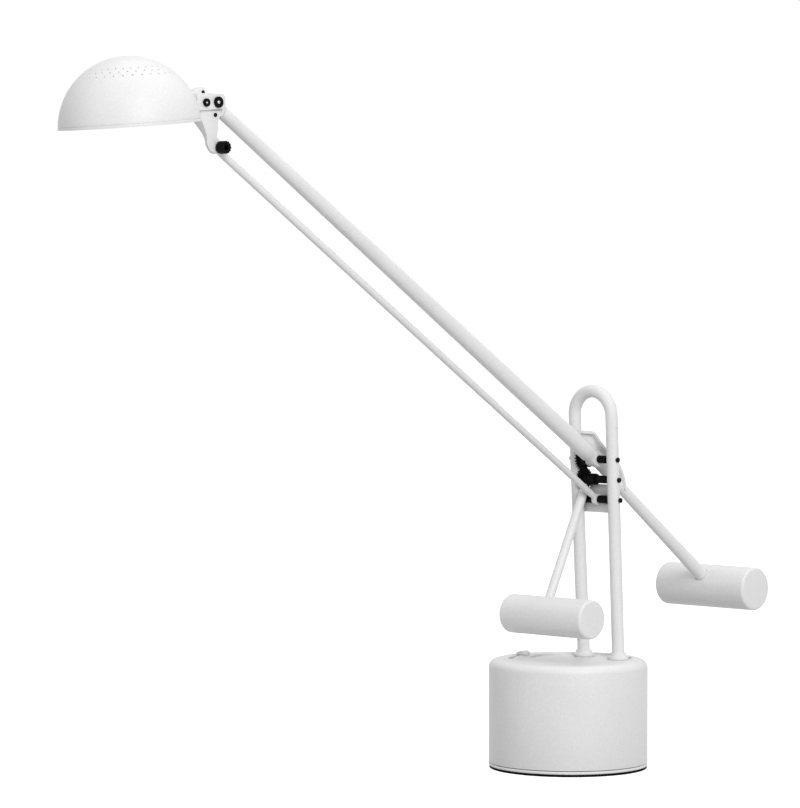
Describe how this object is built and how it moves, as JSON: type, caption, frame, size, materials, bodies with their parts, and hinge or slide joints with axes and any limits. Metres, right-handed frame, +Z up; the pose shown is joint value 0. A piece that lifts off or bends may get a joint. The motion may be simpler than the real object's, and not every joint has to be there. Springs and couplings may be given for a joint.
{
  "type": "desk lamp",
  "caption": "Balanced desk lamp: a drum base with a bent-tube mast, a long arm with a tie rod, a half-round shade and two cylindrical weights",
  "frame": {"origin": "centre of the foot pad's underside, on the table", "axes": "+Z up; +X along the arm's plane from the shade towards the rear weight; +Y along the arm's pins"},
  "size_m": [0.672, 0.12, 0.517],
  "materials": {
    "paint": "smooth light grey-white lacquer",
    "black_plastic": "black moulded plastic",
    "black_rubber": "black rubber sheet",
    "black_steel": "blackened steel",
    "white_plastic": "white moulded plastic",
    "steel": "plain zinc-plated steel",
    "aluminium": "turned aluminium",
    "core": "varnished laminations",
    "winding": "enamelled winding wire",
    "reflector": "satin reflector",
    "ceramic": "glazed ceramic",
    "bulb_glass": "clear quartz capsule"
  },
  "bodies": {
    "foot": {"foot_pad": "black_rubber", "base_plate": "paint", "swivel_stud": "steel", "slip_ring": "black_plastic", "swivel_washer": "steel", "swivel_nut": "steel"},
    "drum": {"base_shell": "paint", "drum_floor": "steel", "swivel_bush": "black_plastic", "stay_posts": "aluminium", "stay_screws": "steel", "transformer_core": "core", "transformer_winding": "winding", "transformer_clamp": "steel", "clamp_screws": "steel", "terminal_block": "white_plastic", "cord_inlet": "black_plastic", "switch_housing": "black_plastic", "mast_loop": "paint", "foot_collars": "paint", "mast_studs": "steel", "mast_nuts": "steel", "top_pin": "black_steel", "middle_pin": "black_steel", "bottom_pin": "black_steel", "top_spacer": "black_plastic", "middle_spacer": "black_plastic", "bottom_spacers": "black_plastic", "cross_plate": "paint"},
    "switch": {"switch_tab": "white_plastic"},
    "arm": {"main_arm": "paint", "arm_root": "paint", "arm_saddle": "paint", "arm_gear": "black_plastic", "rear_arm": "paint", "rear_weight": "paint", "arm_tongue": "paint"},
    "lever": {"lever_tube": "paint", "lever_hub": "black_plastic", "lever_gear": "black_plastic", "front_weight": "paint"},
    "rod": {"tie_rod": "paint", "rod_lower_eye": "paint", "rod_upper_eye": "paint"},
    "head": {"head_bracket": "paint", "arm_pivot_screw": "black_steel", "shade_pivot_screw": "black_steel", "rod_knob": "black_plastic", "bracket_rivet": "black_steel"},
    "shade": {"shade": "paint", "shade_lug": "paint", "stop_pin": "black_steel", "reflector": "reflector", "lampholder": "ceramic", "holder_bracket": "steel", "bulb": "bulb_glass", "bulb_pins": "steel"}
  },
  "joints": [
    {"name": "base_swivel", "type": "hinge", "parent": "foot", "child": "drum", "pos_m": [0, 0, 0.004], "axis": [0, 0, 1], "continuous": true},
    {"name": "arm_tilt", "type": "hinge", "parent": "drum", "child": "arm", "pos_m": [0.0294, 0, 0.2319], "axis": [0, 1, 0], "range_deg": [-30, 5]},
    {"name": "lever_turn", "type": "hinge", "parent": "drum", "child": "lever", "pos_m": [0.03093, 0, 0.21658], "axis": [0, 1, 0], "range_deg": [-5, 30]},
    {"name": "rod_turn", "type": "hinge", "parent": "drum", "child": "rod", "pos_m": [0.03246, 0, 0.20125], "axis": [0, 1, 0], "range_deg": [-30, 5]},
    {"name": "head_level", "type": "hinge", "parent": "arm", "child": "head", "pos_m": [-0.36433, 0, 0.48857], "axis": [0, 1, 0], "range_deg": [-5, 30]},
    {"name": "shade_tilt", "type": "hinge", "parent": "head", "child": "shade", "pos_m": [-0.37533, 0, 0.48797], "axis": [0, 1, 0], "range_deg": [-15, 30]},
    {"name": "switch_slide", "type": "hinge", "parent": "drum", "child": "switch", "pos_m": [0, 0, 0.082], "axis": [0, 0, 1], "range_deg": [0, 30]}
  ],
  "couplings": [
    {"joint": "lever_turn", "follows": "arm_tilt", "ratio": -1},
    {"joint": "rod_turn", "follows": "arm_tilt", "ratio": 1},
    {"joint": "head_level", "follows": "arm_tilt", "ratio": -1}
  ]
}
